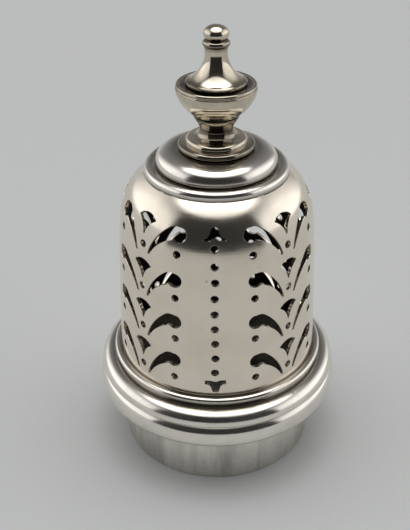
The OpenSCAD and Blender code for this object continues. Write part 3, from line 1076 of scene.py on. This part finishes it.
# The floor's radius in metres, and the repeats in a metre and the strength of its grain
FLOOR_R = 4.0
FLOOR_GRAIN = 900.0
GRAIN_SHARE = 0.015


def make_floor(look):
    """A wide pale floor under the cover."""
    bm = bmesh.new()
    bmesh.ops.create_circle(bm, cap_ends=True, radius=FLOOR_R, segments=96)
    material, tree, shader = new_material("floor_paint")
    grain = noise(tree, new_node(tree, "TexCoord", {}).outputs["Object"], FLOOR_GRAIN, 3.0)
    levels = (1 - GRAIN_SHARE, 1 + GRAIN_SHARE)
    darker, lighter = (opaque(c * level for c in look.floor) for level in levels)
    paint = blend(tree, grain, darker, lighter)
    put_in(shader, {"Base Color": paint, "Roughness": 0.6, "Specular IOR Level": 0.2})
    new_piece("floor", bm, [material])


# Dark card behind the viewer, in metres, which is seen only as the dark reflections in the silver
CARD_R = 0.40
CARD_H = 0.50
CARD_TURN = math.radians(110)
CARD_STEPS = 48
CARD_COLOUR = (0.03, 0.03, 0.03)


def make_dark_card():
    """A dark curved card that stands on the floor behind the viewer."""
    bm = bmesh.new()
    start = Matrix.Rotation(-math.pi / 2 - CARD_TURN / 2, 4, "Z")
    foot, head = (bm.verts.new(start @ Vector((CARD_R, 0.0, z))) for z in (0.0, CARD_H))
    bmesh.ops.spin(bm, geom=[foot, head, bm.edges.new((foot, head))], cent=(0, 0, 0), axis=(0, 0, 1),
                   angle=CARD_TURN, steps=CARD_STEPS)
    material, _, shader = new_material("dark_card")
    put_in(shader, {"Base Color": opaque(CARD_COLOUR), "Roughness": 0.9})
    card = new_piece("dark_card", bm, [material])
    card.visible_camera = False
    card.visible_diffuse = False
    card.visible_shadow = False


# Light of the studio by the sine of the height that it comes from, as shares of the ceiling's. It is pale
# near the floor. Above that there is a backdrop behind the cover and a dim room on the viewer's side.
CEILING = 2.75
BACKDROP = ((0.0, 0.195), (0.06, 0.195), (0.15, 0.13), (0.45, 0.08), (0.80, 0.07), (0.92, 1.2),
            (1.0, 1.2))
ROOM = ((0.0, 0.195), (0.06, 0.195), (0.10, 0.012), (0.50, 0.012), (0.80, 0.02), (0.88, 0.45),
        (1.0, 0.45))

# A bright screen stands on either hand
SCREENS = 1.25

# Where the backdrop takes over from the room along Y, and where the screens start along Z and X squared
BACKDROP_EDGE = (-0.4, 0.2)
SCREEN_FOOT = (0.05, 0.10)
SCREEN_EDGE = (0.26, 0.64)


def sky_ramp(tree, height, levels):
    """Levels of light by height."""
    ramp = new_node(tree, "ValToRGB", {"Fac": height})
    ramp.color_ramp.interpolation = "EASE"
    stops = ramp.color_ramp.elements
    while len(stops) < len(levels):
        stops.new(0.5)
    for stop, (place, level) in zip(stops, levels):
        stop.position = place
        stop.color = opaque([level] * 3)
    return ramp.outputs["Color"]


def make_sky(scene):
    """Soft light from a ceiling and two screens, with a backdrop and a dim room for the silver to show."""
    world = bpy.data.worlds.new("studio")
    scene.world = world
    world.use_nodes = True
    tree = world.node_tree
    where = new_node(tree, "TexCoord", {})
    x, y, z = new_node(tree, "SeparateXYZ", {"Vector": where.outputs["Generated"]}).outputs
    behind = spread(tree, y, *BACKDROP_EDGE)
    light = blend(tree, behind, sky_ramp(tree, z, ROOM), sky_ramp(tree, z, BACKDROP))
    ceiling = tree.nodes["Background"]
    put_in(ceiling, {"Color": light, "Strength": CEILING})
    above = spread(tree, z, *SCREEN_FOOT)
    aside = spread(tree, combine(tree, "MULTIPLY", x, x), *SCREEN_EDGE, 0.0, SCREENS)
    screens = new_node(tree, "Background", {"Strength": combine(tree, "MULTIPLY", above, aside)})
    lights = {0: ceiling.outputs["Background"], 1: screens.outputs["Background"]}
    both = new_node(tree, "AddShader", lights)
    put_in(tree.nodes["World Output"], {"Surface": both.outputs["Shader"]})


def make_camera(scene, look):
    """The photograph's camera."""
    data = bpy.data.cameras.new("camera")
    data.sensor_width = SENSOR
    data.lens = look.focal_px / PHOTO_H * SENSOR
    data.shift_x = (PHOTO_W / 2 - look.axis_px) / PHOTO_H
    data.shift_y = (look.centre_px - PHOTO_H / 2) / PHOTO_H
    data.clip_start = 0.01
    camera = bpy.data.objects.new("camera", data)
    turn = Matrix.Rotation(look.camera_turn, 4, "Z")
    away = Matrix.Translation((0.0, -look.camera_out, look.camera_up))
    tilt = Matrix.Rotation(math.pi / 2 - look.camera_tilt, 4, "X")
    roll = Matrix.Rotation(look.camera_roll, 4, "Z")
    camera.matrix_world = turn @ away @ tilt @ roll
    scene.collection.objects.link(camera)
    scene.camera = camera


class COVER_PT_panel(Panel):
    """Lists the cover's pieces and their sizes"""

    bl_idname = "COVER_PT_panel"
    bl_label = "Caster cover"
    bl_space_type = "VIEW_3D"
    bl_region_type = "UI"
    bl_category = "Caster cover"

    def draw(self, context):
        for operator in OPERATORS:
            self.layout.operator(operator.bl_idname)
        for holder, group in GROUPS.items():
            box = self.layout.box()
            box.label(text=group.__doc__)
            for name in group.__annotations__:
                box.prop(getattr(context.scene, holder), name)


GROUPS = {
    "cover_base": BaseSizes,
    "cover_drum": DrumSizes,
    "cover_piercing": PiercingSizes,
    "cover_crown": CrownSizes,
    "cover_finial": FinialSizes,
    "cover_finish": SilverFinish,
    "cover_studio": StudioLook,
}
OPERATORS = (COVER_OT_bezel, COVER_OT_mouldings, COVER_OT_drum, COVER_OT_crown, COVER_OT_finial,
             COVER_OT_stage)
CLASSES = (*GROUPS.values(), *OPERATORS, COVER_PT_panel)


def register():
    """Registers the classes and hangs the sizes on the scene."""
    for cls in CLASSES:
        bpy.utils.register_class(cls)
    for holder, group in GROUPS.items():
        setattr(bpy.types.Scene, holder, PointerProperty(type=group))


def unregister():
    """Takes away what register added."""
    for holder in GROUPS:
        delattr(bpy.types.Scene, holder)
    for cls in reversed(CLASSES):
        bpy.utils.unregister_class(cls)


def main():
    """Builds the cover and its stage."""
    register()
    bpy.ops.cover.bezel()
    bpy.ops.cover.mouldings()
    bpy.ops.cover.drum()
    bpy.ops.cover.crown()
    bpy.ops.cover.finial()
    bpy.ops.cover.stage()


if __name__ == "__main__":
    main()
